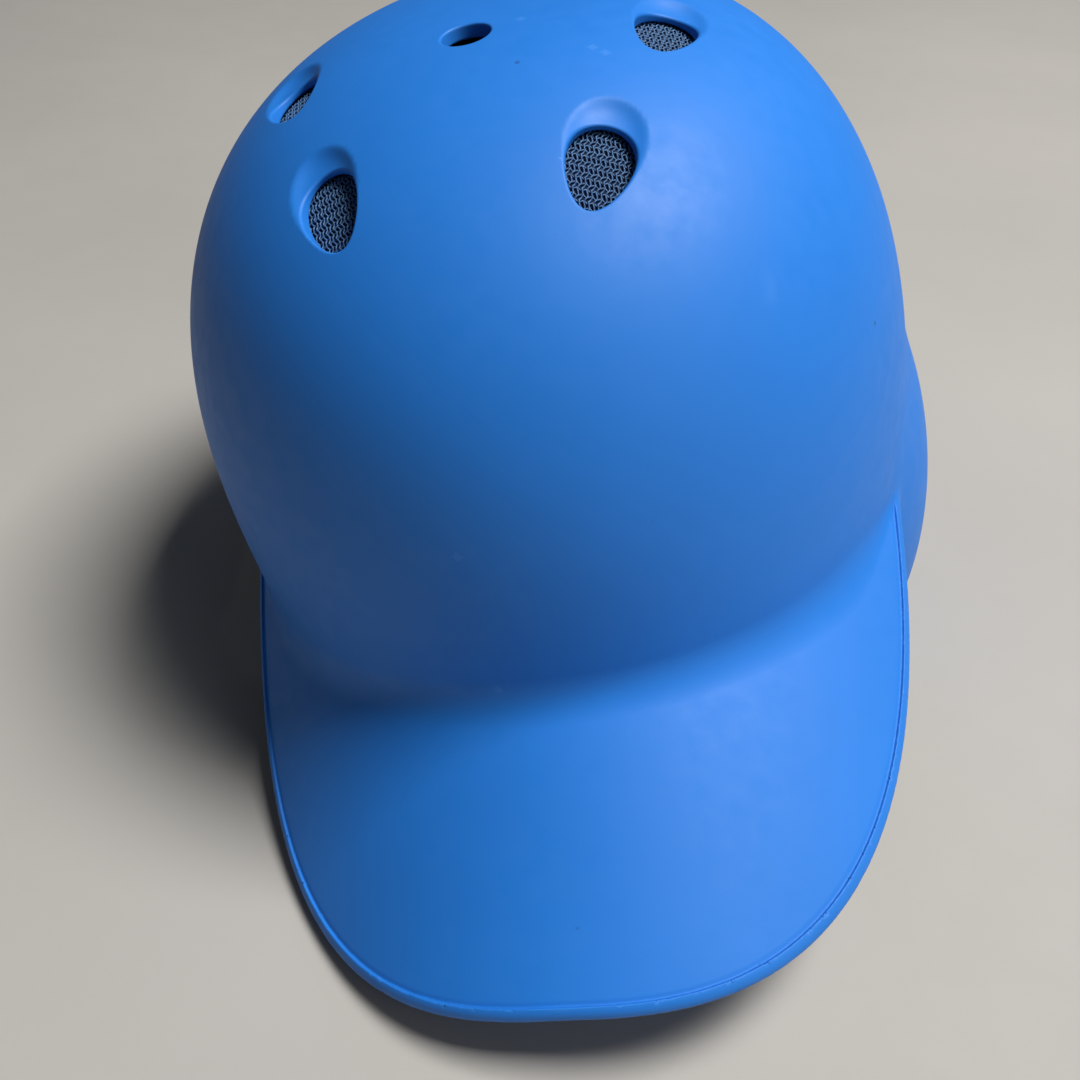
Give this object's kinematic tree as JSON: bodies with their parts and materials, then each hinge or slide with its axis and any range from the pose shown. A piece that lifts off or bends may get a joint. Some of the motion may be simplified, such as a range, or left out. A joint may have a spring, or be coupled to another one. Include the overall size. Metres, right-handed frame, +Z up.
{
  "type": "batting helmet",
  "caption": "Hard-shell batting helmet with one ear flap, arched brim with raised lip, screened egg-shaped vents, foam lining and soft comfort pads, lying at rest.",
  "frame": {"origin": "on the floor under the middle of the helmet's box, as it lies at rest", "axes": "+Z up from the floor it lies on; -Y towards the brim; +X towards the wearer's left, the side of the ear flap"},
  "size_m": [0.214, 0.2874, 0.1856],
  "materials": {
    "shell_plastic": "matte, soft-touch blue",
    "vent_mesh": "knitted mesh, dark navy",
    "impact_foam": "closed-cell foam, black",
    "pad_fabric": "brushed knit over soft foam, charcoal",
    "hook_and_loop": "hook-and-loop tape, black"
  },
  "bodies": {
    "root": {"outer_shell": "shell_plastic", "left_front_vent_screen": "vent_mesh", "left_middle_vent_screen": "vent_mesh", "left_rear_vent_screen": "vent_mesh", "right_front_vent_screen": "vent_mesh", "right_middle_vent_screen": "vent_mesh", "right_rear_vent_screen": "vent_mesh", "crown_foam": "impact_foam", "front_foam": "impact_foam", "left_foam": "impact_foam", "rear_foam": "impact_foam", "right_foam": "impact_foam", "ear_flap_foam": "impact_foam", "brow_pad": "pad_fabric", "left_temple_pad": "pad_fabric", "right_temple_pad": "pad_fabric", "nape_pad": "pad_fabric", "crown_pad": "pad_fabric", "ear_pad": "pad_fabric", "pad_fastener_dots": "hook_and_loop"}
  },
  "joints": []
}
